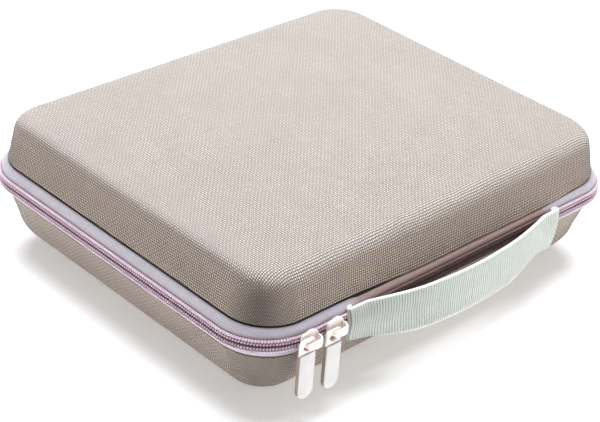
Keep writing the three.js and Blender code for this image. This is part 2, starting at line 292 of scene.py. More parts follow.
def coilNylon():
    material, tree, shader = newMaterial("coil nylon", 0.36)
    shader.inputs["Subsurface Weight"].default_value = 0.15
    shader.inputs["Subsurface Radius"].default_value = (0.0012, 0.0007, 0.0009)
    place = objectCoordinates(tree)
    shade = remap(tree, noise(tree, place, 900.0, 2.0), 0.3, 0.7, 0.0, 1.0)
    colour = mixColour(tree, shade, rgb(212, 186, 201), rgb(232, 211, 222))
    # Painted shadow of the handle on the coil.
    colour = mixColour(tree, attributeOf(tree, "patch"), colour, rgb(120, 94, 90))
    tree.links.new(colour, shader.inputs["Base Color"])
    bump(tree, shader, noise(tree, place, 2600.0, 2.0), 0.00003)
    return material


def coilCore():
    material, tree, shader = newMaterial("coil core", 0.8)
    place = objectCoordinates(tree)
    shade = remap(tree, noise(tree, place, 700.0, 3.0), 0.3, 0.7)
    colour = mixColour(tree, shade, rgb(92, 66, 76), rgb(126, 98, 110))
    # Painted shadow of the handle on the coil's core.
    colour = mixColour(tree, attributeOf(tree, "patch"), colour, rgb(84, 62, 58))
    tree.links.new(colour, shader.inputs["Base Color"])
    bump(tree, shader, noise(tree, place, 1800.0, 2.0), 0.00006)
    return material


strapCloth = {
    "thread": rgb(214, 219, 210), "valley": rgb(104, 112, 104), "selvedge": rgb(240, 240, 234),
    "width": 25.0, "rib": 1.5, "pick": 0.9, "selvedgeWidth": 1.0, "bump": 0.0002,
}


def webbingFabric():
    material, tree, shader = newMaterial("webbing", 0.72, Sheen_Weight=0.15)
    shader.inputs["Specular IOR Level"].default_value = 0.3
    place = uvOf(tree)
    u, v, _ = split(tree, place)
    rib = ridges(tree, u, strapCloth["rib"])
    row = calc(tree, "FLOOR", calc(tree, "DIVIDE", u, strapCloth["rib"]))
    stagger = calc(tree, "ADD", v, calc(tree, "MULTIPLY", row, strapCloth["pick"] / 2))
    pick = calc(tree, "POWER", ridges(tree, stagger, strapCloth["pick"]), 0.6)
    height = calc(tree, "MULTIPLY", calc(tree, "POWER", rib, 0.5), remap(tree, pick, 0.0, 1.0, 0.5, 1.0))
    cloth = mixColour(tree, remap(tree, height, 0.12, 0.72), strapCloth["valley"], strapCloth["thread"])
    mottled = remap(tree, noise(tree, place, 0.12, 3.0), 0.3, 0.7, 0.95, 1.03)
    # Painted shade: the left half is darker towards its end.
    paintedShadeX, _, _ = split(tree, objectCoordinates(tree))
    mottled = calc(tree, "MULTIPLY", mottled, remap(tree, paintedShadeX, -0.075, 0.0, 0.74, 1.0))
    cloth = vectorCalc(tree, "MULTIPLY", cloth, shadeBy(tree, mottled))
    # v counts from the middle of the strap.
    edge = calc(tree, "ABSOLUTE", v)
    half, selvedge = strapCloth["width"] / 2, strapCloth["selvedgeWidth"]
    onEdge = remap(tree, edge, half - selvedge, half - selvedge * 0.4)
    colour = mixColour(tree, onEdge, cloth, strapCloth["selvedge"])
    tree.links.new(colour, shader.inputs["Base Color"])
    bump(tree, shader, height, strapCloth["bump"])
    return material


def wovenMaterial(name, light, dark, pitch, depth, roughness=0.85, sheen=0.2):
    # A close weave for what lies inside the case, on the cut map in millimetres.
    material, tree, shader = newMaterial(name, roughness, Sheen_Weight=sheen)
    shader.inputs["Specular IOR Level"].default_value = 0.25
    place = uvOf(tree)
    u, v, _ = split(tree, place)
    swell, turn = plainWeave(tree, u, v, pitch)
    shade = calc(tree, "MULTIPLY", remap(tree, swell, 0.1, 0.8), remap(tree, turn, -1.0, 1.0, 0.8, 1.0))
    mottled = remap(tree, noise(tree, place, 0.08, 3.0), 0.3, 0.7, 0.85, 1.0)
    colour = mixColour(tree, calc(tree, "MULTIPLY", shade, mottled), dark, light)
    tree.links.new(colour, shader.inputs["Base Color"])
    bump(tree, shader, swell, depth)
    return material


def foamMaterial():
    material, tree, shader = newMaterial("insert foam", 0.95)
    shader.inputs["Specular IOR Level"].default_value = 0.15
    place = objectCoordinates(tree)
    cells = tree.nodes.new("ShaderNodeTexVoronoi")
    cells.inputs["Scale"].default_value = 1100.0
    tree.links.new(place, cells.inputs["Vector"])
    pore = remap(tree, cells.outputs["Distance"], 0.1, 0.6)
    cloud = noise(tree, place, 40.0, 4.0)
    shade = calc(tree, "MULTIPLY", pore, remap(tree, cloud, 0.3, 0.7, 0.7, 1.0))
    tree.links.new(mixColour(tree, shade, rgb(40, 39, 42), rgb(74, 72, 77)), shader.inputs["Base Color"])
    bump(tree, shader, pore, 0.00012)
    return material


netCloth = {"pitchU": 1.3, "pitchV": 1.1}


def meshFabric():
    material, tree, shader = newMaterial("pocket mesh", 0.7, Sheen_Weight=0.1)
    place = uvOf(tree)
    u, v, _ = split(tree, place)
    row = calc(tree, "FLOOR", calc(tree, "DIVIDE", v, netCloth["pitchV"]))
    shiftedU = calc(tree, "ADD", u, calc(tree, "MULTIPLY", row, netCloth["pitchU"] / 2))
    holeU, holeV = wave(tree, shiftedU, netCloth["pitchU"]), wave(tree, v, netCloth["pitchV"])
    hole = calc(tree, "ABSOLUTE", calc(tree, "MULTIPLY", holeU, holeV))
    net = remap(tree, hole, 0.35, 0.6, 1.0, 0.0)
    tree.links.new(mixColour(tree, net, rgb(30, 29, 32), rgb(92, 88, 94)), shader.inputs["Base Color"])
    bump(tree, shader, net, 0.0002)
    return material


def enamelMaterial():
    material, tree, shader = newMaterial("slider enamel", 0.34)
    shader.inputs["Coat Weight"].default_value = 0.25
    shader.inputs["Coat Roughness"].default_value = 0.2
    place = objectCoordinates(tree)
    worn = remap(tree, noise(tree, place, 320.0, 4.0, 0.65), 0.42, 0.7)
    colour = mixColour(tree, worn, rgb(249, 240, 233), rgb(236, 224, 215))
    tree.links.new(colour, shader.inputs["Base Color"])
    gloss = remap(tree, noise(tree, place, 500.0, 3.0), 0.3, 0.7, 0.26, 0.44)
    tree.links.new(gloss, shader.inputs["Roughness"])
    bump(tree, shader, noise(tree, place, 420.0, 3.0), 0.00006)
    return material


def gripMaterial():
    # A light face, with painted shade through the rest of its depth so the back and sides read dark.
    material, tree, shader = newMaterial("grip rubber", 0.55)
    place = objectCoordinates(tree)
    grain = noise(tree, place, 2400.0, 2.0)
    cloud = remap(tree, noise(tree, place, 120.0, 3.0), 0.3, 0.7)
    face = mixColour(tree, cloud, rgb(222, 219, 216), rgb(230, 227, 224))
    colour = mixColour(tree, remap(tree, attributeOf(tree, "layer"), 0.78, 0.88), rgb(150, 134, 122), face)
    tree.links.new(colour, shader.inputs["Base Color"])
    bump(tree, shader, grain, 0.00003)
    return material


def threadMaterial(name, light, dark):
    material, tree, shader = newMaterial(name, 0.6, Sheen_Weight=0.2)
    place = objectCoordinates(tree)
    twist = noise(tree, place, 2200.0, 2.0)
    tree.links.new(mixColour(tree, remap(tree, twist, 0.3, 0.7), dark, light), shader.inputs["Base Color"])
    bump(tree, shader, twist, 0.00004)
    return material


materials = {
    "shell": shellFabric(),
    "tape": tapeFabric(),
    "coil": coilNylon(),
    "core": coilCore(),
    "webbing": webbingFabric(),
    "lining": wovenMaterial("lining fabric", rgb(96, 92, 98), rgb(52, 49, 54), 0.7, 0.00006),
    "binding": wovenMaterial("binding fabric", rgb(112, 104, 116), rgb(58, 52, 60), 0.9, 0.00009),
    "pad": wovenMaterial("pad fabric", rgb(104, 100, 108), rgb(54, 52, 58), 0.8, 0.00008, 0.92, 0.35),
    "foam": foamMaterial(),
    "mesh": meshFabric(),
    "enamel": enamelMaterial(),
    "grip": gripMaterial(),
    "thread": threadMaterial("stitch thread", rgb(214, 208, 200), rgb(150, 142, 134)),
    "darkThread": threadMaterial("lining thread", rgb(120, 112, 122), rgb(66, 60, 68)),
}
print("materials made:", len(materials))

# Mesh helpers. Sizes are in millimetres until a mesh is made.


def smoothFaces(mesh):
    mesh.polygons.foreach_set("use_smooth", [True] * len(mesh.polygons))


def makePiece(name, points, faces, material, cutMap=None):
    mesh = bpy.data.meshes.new(name)
    mesh.from_pydata((np.asarray(points, float) * mm).tolist(), [], faces)
    if cutMap is not None:
        layer = mesh.uv_layers.new(name="cut")
        loops = np.zeros(len(mesh.loops), np.int32)
        mesh.loops.foreach_get("vertex_index", loops)
        layer.data.foreach_set("uv", np.asarray(cutMap, np.float32)[loops].ravel())
    shape = bmesh.new()
    shape.from_mesh(mesh)
    bmesh.ops.recalc_face_normals(shape, faces=shape.faces)
    shape.to_mesh(mesh)
    shape.free()
    smoothFaces(mesh)
    mesh.materials.append(materials[material])
    made = bpy.data.objects.new(name, mesh)
    bpy.context.scene.collection.objects.link(made)
    return made


def mark(piece, **channels):
    # Stores numbers on a piece's vertices for its material to read.
    for name, valueOf in channels.items():
        layer = piece.data.attributes.new(name, "FLOAT", "POINT")
        values = [float(valueOf(vertex.co / mm, vertex.normal)) for vertex in piece.data.vertices]
        layer.data.foreach_set("value", values)


# Where the handle's shadow is painted on the zip: the front stretch behind the webbing.
def behindHandle(place, _):
    x, y, _ = place
    inFront = y < -case["halfY"] * 0.9
    return inFront * np.clip((x + 71) / 7, 0, 1) * np.clip((69 - x) / 3, 0, 1)


def applyModifiers(piece):
    graph = bpy.context.evaluated_depsgraph_get()
    mesh = bpy.data.meshes.new_from_object(piece.evaluated_get(graph))
    piece.modifiers.clear()
    piece.data = mesh
    return piece


def finishPiece(piece, slot, *nodes, body=None):
    if nodes:
        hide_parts(*nodes)
    if body:
        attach(piece, body)
    return piece


# Outline of the case at its rims. An offset is measured outwards from it.
case = {
    "halfX": 124.0, "halfY": 104.0, "corner": 24.3, "cornerSteps": 20, "sideStep": 5.0,
    "parting": 42.25, "baseRim": 34.0, "lidRim": 50.5, "top": 75.0, "crown": 1.2, "wall": 3.2,
}


def cornerRadius(offset):
    near = np.maximum(offset, -5)
    return np.maximum(case["corner"] + near + 0.5 * (offset - near), 3)


def outlineStations():
    steps = case["cornerSteps"]
    corners, first, second, share = [], [], [], []
    for c, (sx, sy) in enumerate(((1, 1), (-1, 1), (-1, -1), (1, -1))):
        for i in range(steps + 1):
            angle = math.radians(90 * c + 90 * i / steps)
            corners.append((sx, sy, math.cos(angle), math.sin(angle)))
            first.append(c * (steps + 1) + i)
            second.append(first[-1])
            share.append(0.0)
        half = case["halfX"] if c in (0, 2) else case["halfY"]
        count = round(2 * (half - case["corner"]) / case["sideStep"])
        following = ((c + 1) % 4) * (steps + 1)
        for k in range(1, count):
            first.append(c * (steps + 1) + steps)
            second.append(following)
            share.append(k / count)
    return np.array(corners), np.array(first), np.array(second), np.array(share)


cornerTable, firstOf, secondOf, shareOf = outlineStations()
normals = cornerTable[firstOf][:, 2:4]
cornerPoints = case["cornerSteps"] + 1
backStraight = int(np.flatnonzero(firstOf == cornerPoints)[0])    # first station of the back left corner


def ring(offsetX, z, offsetY=None):
    offsetY = offsetX if offsetY is None else offsetY
    sx, sy, nx, ny = cornerTable.T
    radiusX, radiusY = cornerRadius(offsetX), cornerRadius(offsetY)
    x = sx * (case["halfX"] + offsetX - radiusX) + nx * radiusX
    y = sy * (case["halfY"] + offsetY - radiusY) + ny * radiusY
    flat = np.stack([x, y], axis=1)
    flat = flat[firstOf] * (1 - shareOf[:, None]) + flat[secondOf] * shareOf[:, None]
    return np.column_stack([flat, np.full(len(flat), float(z))])


def bezier(p0, p1, p2, p3, steps):
    t = np.linspace(0, 1, steps + 1)[1:, None]
    p0, p1, p2, p3 = (np.array(p, float) for p in (p0, p1, p2, p3))
    return p0 * (1 - t) ** 3 + 3 * p1 * t * (1 - t) ** 2 + 3 * p2 * t * t * (1 - t) + p3 * t ** 3


def loftFaces(rings, count, startCap, endCap):
    faces = []
    for r in range(rings - 1):
        for i in range(count):
            j = (i + 1) % count
            faces.append((r * count + i, r * count + j, (r + 1) * count + j, (r + 1) * count + i))
    if startCap is not None:
        faces += [(startCap, (i + 1) % count, i) for i in range(count)]
    if endCap is not None:
        last = (rings - 1) * count
        faces += [(endCap, last + i, last + (i + 1) % count) for i in range(count)]
    return faces


def shellSide(steps, centreZ, dome):
    # Rings of one skin from its rim to the middle, with the cut map spread from the last step outwards.
    rings = [ring(ox, z, oy) for ox, z, oy in steps]
    flat = np.array([((ox + oy) / 2, z) for ox, z, oy in steps])
    gaps = np.linalg.norm(np.diff(flat, axis=0), axis=1)
    reach = np.concatenate([np.cumsum(gaps[::-1])[::-1], [0]])
    last = rings[-1]
    maps = [last[:, :2] + normals * d for d in reach]
    for s in (0.93, 0.85, 0.75, 0.62, 0.48, 0.34, 0.2, 0.08):
        inner = last * (s, s, 1)
        inner[:, 2] = centreZ - dome * s * s
        rings.append(inner)
        maps.append(inner[:, :2])
    return rings, maps


def wallShadeOf(place, normal):
    # Weight of the painted wall shade: it rises as the cloth turns upright, and is three quarters over all of the
    # base.
    return 0.75 if place.z < 36 else np.clip((0.8 - abs(normal.z)) / 0.4, 0, 1)


def cornerShadeOf(place, normal):
    # Painted shade down an upright corner, nearer its short side.
    turn = math.degrees(math.atan2(abs(normal.y), abs(normal.x)))
    turned = math.exp(-(((turn - 40) / 24) ** 2)) * np.clip((0.95 - abs(normal.z)) / 0.35, 0, 1)
    return turned * np.clip((71 - place.z) / 6, 0, 1) * (0.3 if place.z < 36 else 1)


def bendShadeOf(place, normal):
    # Painted shade in a band on the short walls just under the top's bend.
    onSide = abs(normal.x) > abs(normal.y)
    return onSide * (place.z > 55) * math.exp(-(((normal.z - 0.55) / 0.22) ** 2))


def easeLid(points):
    # The long wall over the handle bellies out a little and its rim hangs over the zip.
    points = np.array(points, float)
    x, y, z = points.T
    along = np.clip((x + 78) / 60, 0, 1) * np.clip((118 - x) / 55, 0, 1)
    along = along * along * (3 - 2 * along)
    low = np.clip((70 - z) / 19.5, 0, 1)
    onFront = np.clip((-y - 92) / 8, 0, 1)
    weight = along * onFront
    points[:, 1] -= lid["belly"] * weight * low
    points[:, 2] -= lid["hang"] * weight * low ** 3
    return points


def easePiece(piece):
    count = len(piece.data.vertices)
    flat = np.zeros(count * 3)
    piece.data.vertices.foreach_get("co", flat)
    moved = easeLid(flat.reshape(-1, 3) / mm) * mm
    piece.data.vertices.foreach_set("co", moved.ravel())
    piece.data.update()


def closedShell(name, inner, outer, material, centres, ease=None):
    # Both skins as one body, joined along the rim.
    rings = inner[0][::-1] + outer[0]
    maps = inner[1][::-1] + outer[1]
    count = len(rings[0])
    points = np.concatenate(rings + [np.array([[0, 0, centres[0]], [0, 0, centres[1]]])])
    cutMap = np.concatenate(maps + [np.zeros((2, 2))])
    total = len(rings) * count
    points = ease(points) if ease else points
    piece = makePiece(name, points, loftFaces(len(rings), count, total, total + 1), material, cutMap)
    if material == "shell":
        mark(piece, upright=wallShadeOf, drawn=cornerShadeOf, edge=bendShadeOf)
    return piece


# Lid.
lid = {
    "draft": 3.1, "roundX": 6.0, "roundY": 9.0, "roundDepth": 7.5, "rimRound": 1.3,
    "wallSteps": 5, "roundSteps": 12, "belly": 2.0, "hang": 1.4,
}


def lidWall():
    # The height where the wall starts to round over, and how far it leans in for each millimetre of height.
    bend = case["top"] - case["crown"] - lid["roundDepth"]
    return bend, lid["draft"] / (bend - case["lidRim"])


def lidSteps(skin, rim):
    bend, slope = lidWall()
    atRim = -skin - slope * (rim - case["lidRim"])
    foot = -lid["draft"] - skin
    steps = []
    for k in range(lid["wallSteps"] + 1):
        share = k / lid["wallSteps"]
        offset = atRim + (foot - atRim) * share
        steps.append((offset, rim + (bend - rim) * share, offset))
    depth = lid["roundDepth"] - skin
    sides = []
    for inset in (lid["roundX"] - skin * 0.5, lid["roundY"] - skin * 0.5):
        handle = 0.5 * depth
        sides.append(bezier(
            (foot, bend), (foot - handle * slope, bend + handle),
            (foot - inset * 0.45, bend + depth), (foot - inset, bend + depth), lid["roundSteps"],
        ))
    return steps + [(a[0], a[1], b[0]) for a, b in zip(*sides)]


def rimFold(profile, side, radius, steps=5):
    # Rounds the edge of the outer skin where the cloth turns under.
    z = profile[0][1]
    turned = []
    for k in range(steps):
        angle = math.pi / 2 * k / steps
        turned.append((-radius * (1 - math.sin(angle)), z + side * radius * (1 - math.cos(angle))))
    lean = (profile[1][0] - profile[0][0]) / abs(profile[1][1] - z)
    first = profile[0][0] + lean * radius
    return [(o, h, o) for o, h in turned] + [(first, z + side * radius, first)] + profile[1:]


def makeLid():
    outer = shellSide(rimFold(lidSteps(0, case["lidRim"]), 1, lid["rimRound"]), case["top"], case["crown"])
    innerTop = case["top"] - case["wall"]
    inner = shellSide(lidSteps(case["wall"], case["lidRim"]), innerTop, case["crown"])
    piece = closedShell("lid_cloth_shell", inner, outer, "shell", (innerTop, case["top"]), easeLid)
    finishPiece(piece, "shell_fabric", "lid_shell", body="lid")
    skin, under = case["wall"] + 0.3, case["wall"] + 1.1
    rim = case["lidRim"] + 1
    outer = shellSide(lidSteps(skin, rim), case["top"] - skin, case["crown"])
    inner = shellSide(lidSteps(under, rim), case["top"] - under, case["crown"])
    centres = (case["top"] - under, case["top"] - skin)
    piece = closedShell("lid_lining_cloth", inner, outer, "lining", centres, easeLid)
    finishPiece(piece, "lining_fabric", "lid_lining", body="lid")


# Base.
base = {
    "draft": 4.8, "draftDepth": 14.0, "inset": 28.0, "depth": 20.0, "rimRound": 1.3,
    "wallSteps": 5, "roundSteps": 14,
}


def baseSteps(skin, rim):
    bend = case["baseRim"] - base["draftDepth"]
    slope = base["draft"] / base["draftDepth"]
    atRim = -skin - slope * (case["baseRim"] - rim)
    foot = -base["draft"] - skin
    steps = []
    for k in range(base["wallSteps"] + 1):
        share = k / base["wallSteps"]
        offset = atRim + (foot - atRim) * share
        steps.append((offset, rim + (bend - rim) * share, offset))
    inset, depth = base["inset"] - skin * 0.4, base["depth"] - skin
    curve = bezier(
        (foot, bend), (foot - 0.55 * depth * slope * 0.45, bend - 0.55 * depth),
        (foot - inset * 0.45, bend - depth), (foot - inset, bend - depth), base["roundSteps"],
    )
    return steps + [(o, z, o) for o, z in curve]


def makeBase():
    outer = shellSide(rimFold(baseSteps(0, case["baseRim"]), -1, base["rimRound"]), 0.0, 0.0)
    inner = shellSide(baseSteps(case["wall"], case["baseRim"]), case["wall"], 0.0)
    piece = closedShell("base_cloth_shell", inner, outer, "shell", (case["wall"], 0.0))
    finishPiece(piece, "shell_fabric", "base_shell", body="base")
    skin, under = case["wall"] + 0.3, case["wall"] + 1.1
    rim = case["baseRim"] - 1
    outer = shellSide(baseSteps(skin, rim), skin, 0.0)
    inner = shellSide(baseSteps(under, rim), under, 0.0)
    piece = closedShell("base_lining_cloth", inner, outer, "lining", (under, skin))
    finishPiece(piece, "lining_fabric", "base_lining", body="base")


makeLid()
makeBase()
print("shells made")

# Zip: tapes, coils and the cloth hinge. Heights are counted from the parting plane.
zipper = {
    "end": 87.0, "hinge": 84.0, "reach": 3.2, "thickness": 1.0, "rim": 8.25,
    "pitch": 1.45, "frontRise": 1.0,
    "outerBead": {"size": (1.5, 1.7, 1.5), "offset": 4.2, "height": 2.75, "turn": (10, 24, 0)},
    "innerBead": {"size": (0.95, 1.5, 1.5), "offset": 4.35, "height": 1.15, "turn": (0, 30, 0)},
}


def zipLift(z):
    # The coil runs a little higher along the front, while the tapes stay on the rims.
    nearCoil = np.clip((7.6 - abs(z - case["parting"])) / 3.0, 0, 1)
    toFront = np.where(normals[:, 1] < 0, normals[:, 1] ** 2, 0)
    return zipper["frontRise"] * nearCoil * toFront


def zipRing(offset, z):
    # The points of the zip's path, from the back left round the front to the back right.
    whole = ring(offset, z)
    whole[:, 2] += zipLift(z)
    run = np.concatenate([whole[backStraight:], whole[:cornerPoints]])
    y = case["halfY"] + offset
    start = [(-x, y, z) for x in np.linspace(zipper["end"], 96, 4)]
    finish = [(x, y, z) for x in np.linspace(96, zipper["end"], 4)]
    return np.concatenate([start, run, finish])


def alongOf(points):
    return np.concatenate([[0], np.cumsum(np.linalg.norm(np.diff(points, axis=0), axis=1))])


def sweepPiece(name, profile, runOf, material, closed=False):
    # profile is a closed loop of (offset, z, v) and runOf gives the path at an offset and a height.
    runs = [runOf(offset, z) for offset, z, _ in profile]
    along = alongOf(runs[0])
    stations, count = len(runs[0]), len(profile)
    points = np.stack(runs, axis=1).reshape(-1, 3)
    cutMap = np.array([(along[s], profile[i][2]) for s in range(stations) for i in range(count)])
    faces = []
    for s in range(stations if closed else stations - 1):
        t = (s + 1) % stations
        for i in range(count):
            j = (i + 1) % count
            faces.append((s * count + i, s * count + j, t * count + j, t * count + i))
    if not closed:
        faces.append(tuple(range(count)))
        faces.append(tuple((stations - 1) * count + i for i in range(count)))
    return makePiece(name, points, faces, material, cutMap)


def thickLine(line, thickness, side):
    # A line of (offset, height) given a thickness inwards, with v measured from its first point.
    line = np.array(line, float)
    along = alongOf(line)
    tangent = np.gradient(line, axis=0)
    tangent /= np.linalg.norm(tangent, axis=1)[:, None]
    inward = np.column_stack([-np.abs(tangent[:, 1]) - 0.15, -np.abs(tangent[:, 0]) * 0.3])
    inward /= np.linalg.norm(inward, axis=1)[:, None]
    under = line + inward * thickness
    both = np.concatenate([line, under[::-1]])
    v = np.concatenate([along, along[::-1]])
    return [(o, case["parting"] + side * h, w) for (o, h), w in zip(both, v)]


def tapeLine():
    # From under the rim out over the shoulder to the coil.
    rim = zipper["rim"]
    first = np.array([(-1.5, rim - 0.25)])
    curve = bezier((-1.5, rim - 0.25), (0.9, rim - 0.5), (3.5, 6.0), (3.35, 3.05), 12)
    return np.concatenate([first, curve])


def repeatTree(name, material, segments=8, rings=6):
    # Places a small rounded bead at every step along a path.
    tree = bpy.data.node_groups.new(name, "GeometryNodeTree")
    sockets = {}
    tree.interface.new_socket("Path", in_out="INPUT", socket_type="NodeSocketGeometry")
    for label, kind in (
        ("Pitch", "NodeSocketFloat"), ("Size", "NodeSocketVector"), ("Turn", "NodeSocketVector"),
    ):
        sockets[label] = tree.interface.new_socket(label, in_out="INPUT", socket_type=kind).identifier
    tree.interface.new_socket("Beads", in_out="OUTPUT", socket_type="NodeSocketGeometry")
    nodes, links = tree.nodes, tree.links
    given, made = nodes.new("NodeGroupInput"), nodes.new("NodeGroupOutput")
    toCurve = nodes.new("GeometryNodeMeshToCurve")
    resample = nodes.new("GeometryNodeResampleCurve")
    resample.mode = "LENGTH"
    bead = nodes.new("GeometryNodeMeshUVSphere")
    bead.inputs["Segments"].default_value = segments
    bead.inputs["Rings"].default_value = rings
    bead.inputs["Radius"].default_value = 0.5
    smooth = nodes.new("GeometryNodeSetShadeSmooth")
    tangent = nodes.new("GeometryNodeInputTangent")
    align = nodes.new("FunctionNodeAlignRotationToVector")
    align.axis, align.pivot_axis = "X", "Z"
    turn = nodes.new("FunctionNodeRotateRotation")
    turn.rotation_space = "LOCAL"
    toRotation = nodes.new("FunctionNodeEulerToRotation")
    place = nodes.new("GeometryNodeInstanceOnPoints")
    realize = nodes.new("GeometryNodeRealizeInstances")
    paint = nodes.new("GeometryNodeSetMaterial")
    paint.inputs["Material"].default_value = material
    links.new(given.outputs["Path"], toCurve.inputs[0])
    links.new(toCurve.outputs[0], resample.inputs["Curve"])
    links.new(given.outputs["Pitch"], resample.inputs["Length"])
    links.new(resample.outputs[0], place.inputs["Points"])
    links.new(bead.outputs["Mesh"], smooth.inputs["Geometry"])
    links.new(smooth.outputs[0], place.inputs["Instance"])
    links.new(tangent.outputs[0], align.inputs["Vector"])
    links.new(given.outputs["Turn"], toRotation.inputs[0])
    links.new(align.outputs[0], turn.inputs[0])
    links.new(toRotation.outputs[0], turn.inputs[1])
    links.new(turn.outputs[0], place.inputs["Rotation"])
    links.new(given.outputs["Size"], place.inputs["Scale"])
    links.new(place.outputs[0], realize.inputs[0])
    links.new(realize.outputs[0], paint.inputs["Geometry"])
    links.new(paint.outputs[0], made.inputs[0])
    return tree, sockets


def beadsAlong(name, path, tree, sockets, pitch, size, turn):
    # path is a run of points, in millimetres.
    points = [tuple(p) for p in np.asarray(path, float) * mm]
    mesh = bpy.data.meshes.new(name)
    mesh.from_pydata(points, [(i, i + 1) for i in range(len(path) - 1)], [])
    piece = bpy.data.objects.new(name, mesh)
    bpy.context.scene.collection.objects.link(piece)
    modifier = piece.modifiers.new("beads", "NODES")
    modifier.node_group = tree
    modifier[sockets["Pitch"]] = pitch * mm
    modifier[sockets["Size"]] = [s * mm for s in size]
    modifier[sockets["Turn"]] = [math.radians(a) for a in turn]
    return applyModifiers(piece)


coilTree = repeatTree("coil teeth", materials["coil"])
stitchTree = repeatTree("stitches", materials["thread"], 6, 4)
darkStitchTree = repeatTree("lining stitches", materials["darkThread"], 6, 4)
stitch = {"pitch": 3.3, "size": (2.5, 0.55, 0.6)}


def stitchRow(name, path, tree):
    return beadsAlong(name, path, *tree, stitch["pitch"], stitch["size"], (0, 0, 0))


def makeZip(half, side):
    piece = sweepPiece(f"{half}_tape_cloth", thickLine(tapeLine(), zipper["thickness"], side), zipRing, "tape")
    # Painted shadow of the handle on the stretch of zip behind it.
    mark(piece, patch=behindHandle)
    finishPiece(piece, "zip_tape", f"{half}_zip_tape", body=half)
    core = [(2.3, 0.12), (3.9, 0.12), (4.5, 0.7), (4.5, 2.1), (3.9, 2.7), (2.3, 2.75)]
    profile = [(o, case["parting"] + side * h, h) for o, h in core]
    piece = sweepPiece(f"{half}_coil_cord", profile, zipRing, "core")
    mark(piece, patch=behindHandle)
    finishPiece(piece, "coil_nylon", body=half)
    for name, replaced in (("outerBead", (f"{half}_zip_coil",)), ("innerBead", ())):
        bead = zipper[name]
        path = zipRing(bead["offset"], case["parting"] + side * bead["height"])
        turn = (side * bead["turn"][0], bead["turn"][1], bead["turn"][2])
        label = "bends" if name == "outerBead" else "heads"
        teeth = beadsAlong(f"{half}_coil_{label}", path, *coilTree, zipper["pitch"], bead["size"], turn)
        mark(teeth, patch=behindHandle)
        finishPiece(teeth, "coil_nylon", *replaced, body=half)


def hingeRun(offset, z):
    count = 57
    x = np.linspace(zipper["hinge"], -zipper["hinge"], count)
    return np.column_stack([x, np.full(count, case["halfY"] + offset), np.full(count, z)])


def makeHinge():
    # One band of cloth from rim to rim, puckered a little along the bend.
    upper = tapeLine()
    lower = upper[::-1] * (1, -1)
    middle = np.array([(3.4, 1.5), (3.2, 0.0), (3.4, -1.5)])
    line = np.concatenate([upper, middle, lower])
    profile = thickLine(line, zipper["thickness"], 1)
    piece = sweepPiece("hinge_cloth", profile, hingeRun, "shell")
    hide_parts("base_hinge_cloth", "lid_hinge_cloth")
    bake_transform(piece)
    for half, side in (("base", -1), ("lid", 1)):
        z = case["parting"] + side * 6.0
        path = [(x, case["halfY"] + 2.55, z) for x in np.linspace(-81, 81, 40)]
        seam = stitchRow(f"{half}_hinge_stitches", path, stitchTree)
        finishPiece(seam, "shell_fabric", body=half)


def makeStops():
    for name, side in (("left", -1), ("right", 1)):
        low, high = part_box(f"zip_stop_{name}")
        centre, size = (low + high) / 2, high - low
        shape = bmesh.new()
        spread = Matrix.Translation(centre) @ Matrix.Diagonal((*size, 1))
        bmesh.ops.create_cube(shape, size=1.0, matrix=spread)
        mesh = bpy.data.meshes.new(f"zip_stop_clamp_{name}")
        shape.to_mesh(mesh)
        shape.free()
        mesh.materials.append(materials["enamel"])
        piece = bpy.data.objects.new(mesh.name, mesh)
        bpy.context.scene.collection.objects.link(piece)
        edge = piece.modifiers.new("edge", "BEVEL")
        edge.width, edge.segments = 0.0005, 3
        applyModifiers(piece)
        smoothFaces(piece.data)
        finishPiece(piece, "slider_paint", f"zip_stop_{name}", body="base")


for half, side in (("base", -1), ("lid", 1)):
    makeZip(half, side)
makeHinge()
makeStops()
print("zip made")

# Sliders and pulls. In a slider's own frame x runs along the coil, out is away from the case and z is up.
slider = {
    "plateIn": 5.6, "plateOut": 6.9, "rightX": -84.5, "turn": 1.2,
    "bridgeThick": 1.25, "eye": 2.35, "plate": (8.1, 9.3), "grip": (7.4, 10.2),
    "gripHalf": 4.55, "neck": 3.6, "length": 28.3, "axisX": -3.8, "rise": 1.0,
    "hang": {"left": (0.2, 1.0), "right": (0.7, -0.7)}, "bevelAngle": 35,
}


def sliderFrames():
    height = (case["parting"] + slider["rise"]) * mm
    right = Matrix.Translation((slider["rightX"] * mm, -case["halfY"] * mm, height))
    pivot = Matrix.Translation((
        (-case["halfX"] + case["corner"]) * mm, (-case["halfY"] + case["corner"]) * mm, height,
    ))
    turned = Matrix.Rotation(-math.radians(slider["turn"]), 4, "Z")
    left = pivot @ turned @ Matrix.Translation((0, -case["corner"] * mm, 0))
    return {"left": left, "right": right}


def roundedPiece(name, points, faces, material, place, bevel, subdivide=0):
    piece = makePiece(name, points, faces, material)
    if bevel:
        edge = piece.modifiers.new("edge", "BEVEL")
        edge.width, edge.segments = bevel * mm, 3
        edge.limit_method, edge.angle_limit = "ANGLE", math.radians(slider["bevelAngle"])
    if subdivide:
        smoother = piece.modifiers.new("smooth", "SUBSURF")
        smoother.levels = smoother.render_levels = subdivide
    applyModifiers(piece)
    piece.data.transform(place)
    smoothFaces(piece.data)
    return piece


